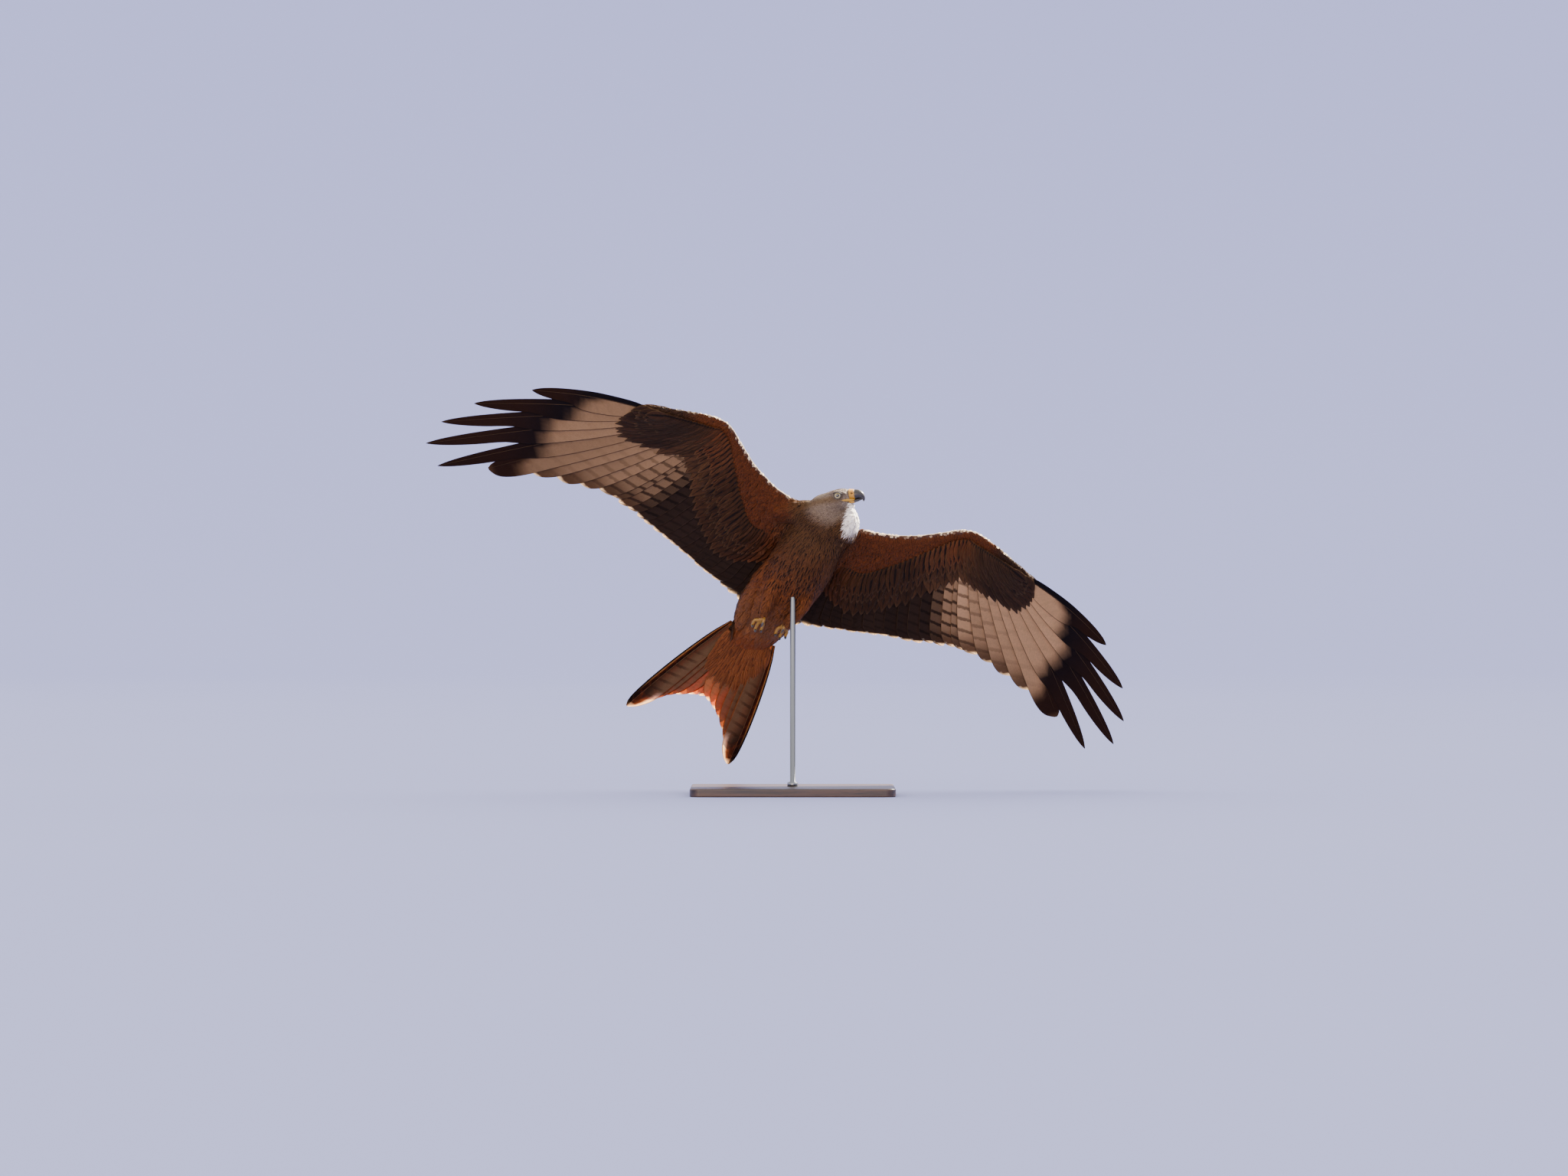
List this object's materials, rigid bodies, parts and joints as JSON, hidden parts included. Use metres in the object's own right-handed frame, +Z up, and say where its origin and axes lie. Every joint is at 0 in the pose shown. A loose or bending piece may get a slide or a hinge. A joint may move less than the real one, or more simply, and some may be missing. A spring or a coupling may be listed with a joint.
{
  "type": "red kite bird model",
  "caption": "Life-size still model of a red kite gliding on a bank, wings spread, forked tail, head turned, held by a rod on a flat display base.",
  "frame": {"origin": "centre of the underside of the stand's base, on the surface that it rests on", "axes": "+Z up; +X to the right as the picture is seen, along the spread wings; +Y away from the picture's viewer"},
  "size_m": [1.1771, 0.3922, 0.6757],
  "materials": {
    "feathers_body": "matte rufous body feathers with dark shaft streaks",
    "feathers_head": "matte pale grey head feathers, finely streaked dark",
    "feathers_wing": "matte to silky flight feathers, dark brown with a pale window",
    "feathers_tail": "silky rufous tail feathers, thinly barred, dark at the outer corners",
    "cere_skin": "smooth yellow skin",
    "foot_skin": "scaly yellow skin",
    "horn": "polished black horn",
    "eye": "wet gloss, pale iris and black pupil",
    "rod_steel": "satin brushed",
    "base_wood": "satin black-stained wood"
  },
  "bodies": {
    "root": {"torso": "feathers_body", "neck": "feathers_head", "head": "feathers_head", "cere": "cere_skin", "beak_upper": "horn", "beak_lower": "horn", "stand_base": "base_wood", "stand_rod": "rod_steel", "eye_right": "eye", "wing_right_arm": "feathers_wing", "wing_right_hand": "feathers_wing", "tail_right": "feathers_tail", "leg_right": "feathers_body", "foot_right": "foot_skin", "claw_right_1": "horn", "claw_right_2": "horn", "claw_right_3": "horn", "claw_right_4": "horn", "eye_left": "eye", "wing_left_arm": "feathers_wing", "wing_left_hand": "feathers_wing", "tail_left": "feathers_tail", "leg_left": "feathers_body", "foot_left": "foot_skin", "claw_left_1": "horn", "claw_left_2": "horn", "claw_left_3": "horn", "claw_left_4": "horn"}
  },
  "joints": []
}
